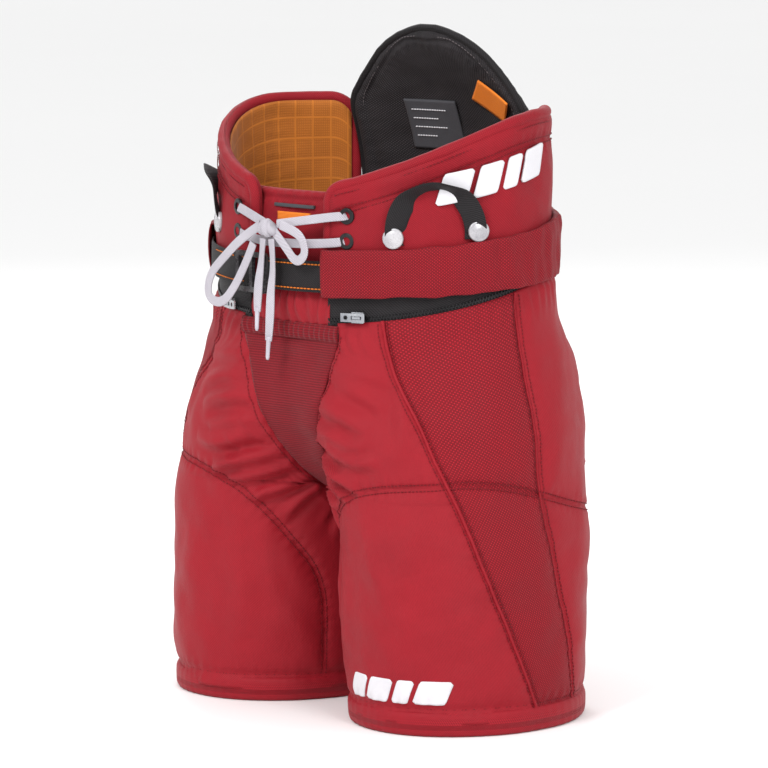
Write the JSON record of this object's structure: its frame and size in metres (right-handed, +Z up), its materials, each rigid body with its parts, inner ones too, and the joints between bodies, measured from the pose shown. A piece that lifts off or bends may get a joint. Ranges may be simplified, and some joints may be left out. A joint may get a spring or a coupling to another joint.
{
  "type": "hockey pants",
  "caption": "Padded ice hockey pants with laced and belted waist, hip wings, spine pad, mesh side panels and swinging padded legs.",
  "frame": {"origin": "on the surface the leg hems stand on, under the centre of the pants' box", "axes": "+Z up, -Y the wearer's front, +X the wearer's left"},
  "size_m": [0.4432, 0.2878, 0.637],
  "materials": {
    "red_nylon": "matt woven nylon",
    "red_mesh": "perforated knit mesh",
    "red_knit": "ribbed stretch knit",
    "orange_lining": "fine mesh lining",
    "black_mesh": "black spacer mesh",
    "black_webbing": "twill webbing",
    "white_lace": "flat braided lace",
    "label_grey": "satin label",
    "tag_orange": "woven tag",
    "foam": "closed cell foam",
    "guard_plastic": "moulded polyethylene",
    "black_plastic": "moulded nylon",
    "eyelet_metal": "black enamel",
    "button_metal": "satin white enamel",
    "zip_metal": "polished",
    "lace_tip": "clear sleeve"
  },
  "bodies": {
    "waist": {"belt_tunnel_left": "red_mesh", "belt_tunnel_right": "red_mesh", "belt_webbing": "black_webbing", "buckle_frame": "black_plastic", "eyelets": "eyelet_metal", "front_gusset": "red_knit", "groin_sleeve_left": "red_nylon", "groin_sleeve_right": "red_nylon", "gusset_elastic": "red_knit", "hip_guard_left": "guard_plastic", "hip_guard_right": "guard_plastic", "hip_shell_left": "red_nylon", "hip_shell_right": "red_nylon", "hip_side_panel_left": "red_mesh", "hip_side_panel_right": "red_mesh", "lace_knot": "white_lace", "lace_loop_left": "white_lace", "lace_loop_right": "white_lace", "lace_lower_strand": "white_lace", "lace_tail_left": "white_lace", "lace_tail_right": "white_lace", "lace_tips": "lace_tip", "lace_upper_strands": "white_lace", "lumbar_pad": "black_mesh", "suspender_buttons": "button_metal", "tailbone_pad": "foam", "waist_liner": "black_mesh", "wing_binding_left": "red_nylon", "wing_binding_right": "red_nylon", "wing_left": "red_nylon", "wing_lining_left": "orange_lining", "wing_lining_right": "orange_lining", "wing_right": "red_nylon", "zip_coils": "zip_metal", "zip_tape_left": "black_webbing", "zip_tape_right": "black_webbing"},
    "belt_tail": {"belt_tail": "black_webbing"},
    "spine_pad": {"care_label": "label_grey", "spine_pad_inner": "black_mesh", "spine_pad_outer": "black_mesh", "spine_plate": "guard_plastic", "woven_tag": "tag_orange"},
    "leg_left": {"hem_band_left": "red_nylon", "thigh_foam_left": "foam", "thigh_guard_left": "guard_plastic", "thigh_shell_left": "red_nylon", "thigh_side_panel_left": "red_mesh"},
    "leg_right": {"hem_band_right": "red_nylon", "thigh_foam_right": "foam", "thigh_guard_right": "guard_plastic", "thigh_shell_right": "red_nylon", "thigh_side_panel_right": "red_mesh"},
    "suspender_loop_left": {"suspender_loop_left": "black_webbing"},
    "suspender_loop_right": {"suspender_loop_right": "black_webbing"},
    "tongue": {"tongue": "red_nylon"},
    "zip_pull_left": {"zip_pull_left": "zip_metal"},
    "zip_pull_right": {"zip_pull_right": "zip_metal"},
    "zip_slider_left": {"zip_slider_left": "zip_metal"},
    "zip_slider_right": {"zip_slider_right": "zip_metal"}
  },
  "joints": [
    {"name": "leg_swing_left", "type": "hinge", "parent": "waist", "child": "leg_left", "pos_m": [0.11, 0.0007, 0.235], "axis": [-1, 0, 0], "range_deg": [-10, 30], "deforming": ["groin_sleeve_left"]},
    {"name": "zip_slide_left", "type": "slide", "parent": "waist", "child": "zip_slider_left", "axis": [0.9377, 0.3474, 0], "range_m": [0, 0.03]},
    {"name": "zip_pull_turn_left", "type": "hinge", "parent": "zip_slider_left", "child": "zip_pull_left", "pos_m": [0.09275, -0.11558, 0.38049], "axis": [0, 0, 1], "range_deg": [0, 90]},
    {"name": "suspender_loop_fold_left", "type": "hinge", "parent": "waist", "child": "suspender_loop_left", "pos_m": [0.14979, -0.07936, 0.4615], "axis": [0.7201, 0.6939, 0], "range_deg": [0, 60], "stiffness_Nm_per_rad": 0.01},
    {"name": "leg_swing_right", "type": "hinge", "parent": "waist", "child": "leg_right", "pos_m": [-0.11, 0.0007, 0.235], "axis": [-1, 0, 0], "range_deg": [-10, 30], "deforming": ["groin_sleeve_right"]},
    {"name": "zip_slide_right", "type": "slide", "parent": "waist", "child": "zip_slider_right", "axis": [-0.9377, 0.3474, 0], "range_m": [0, 0.03]},
    {"name": "zip_pull_turn_right", "type": "hinge", "parent": "zip_slider_right", "child": "zip_pull_right", "pos_m": [-0.09275, -0.11558, 0.38049], "axis": [0, 0, -1], "range_deg": [0, 90]},
    {"name": "suspender_loop_fold_right", "type": "hinge", "parent": "waist", "child": "suspender_loop_right", "pos_m": [-0.14979, -0.07936, 0.4615], "axis": [0.7201, -0.6939, 0], "range_deg": [0, 60], "stiffness_Nm_per_rad": 0.01},
    {"name": "spine_pad_flex", "type": "hinge", "parent": "waist", "child": "spine_pad", "pos_m": [0, 0.0757, 0.484], "axis": [1, 0, 0], "range_deg": [0, 8], "stiffness_Nm_per_rad": 6},
    {"name": "tongue_tilt", "type": "hinge", "parent": "waist", "child": "tongue", "pos_m": [0, -0.1093, 0.386], "axis": [-1, 0, 0], "range_deg": [0, 12], "stiffness_Nm_per_rad": 1},
    {"name": "belt_tail_slide", "type": "slide", "parent": "waist", "child": "belt_tail", "axis": [-0.9683, 0.2497, 0], "range_m": [0, 0.03]}
  ]
}
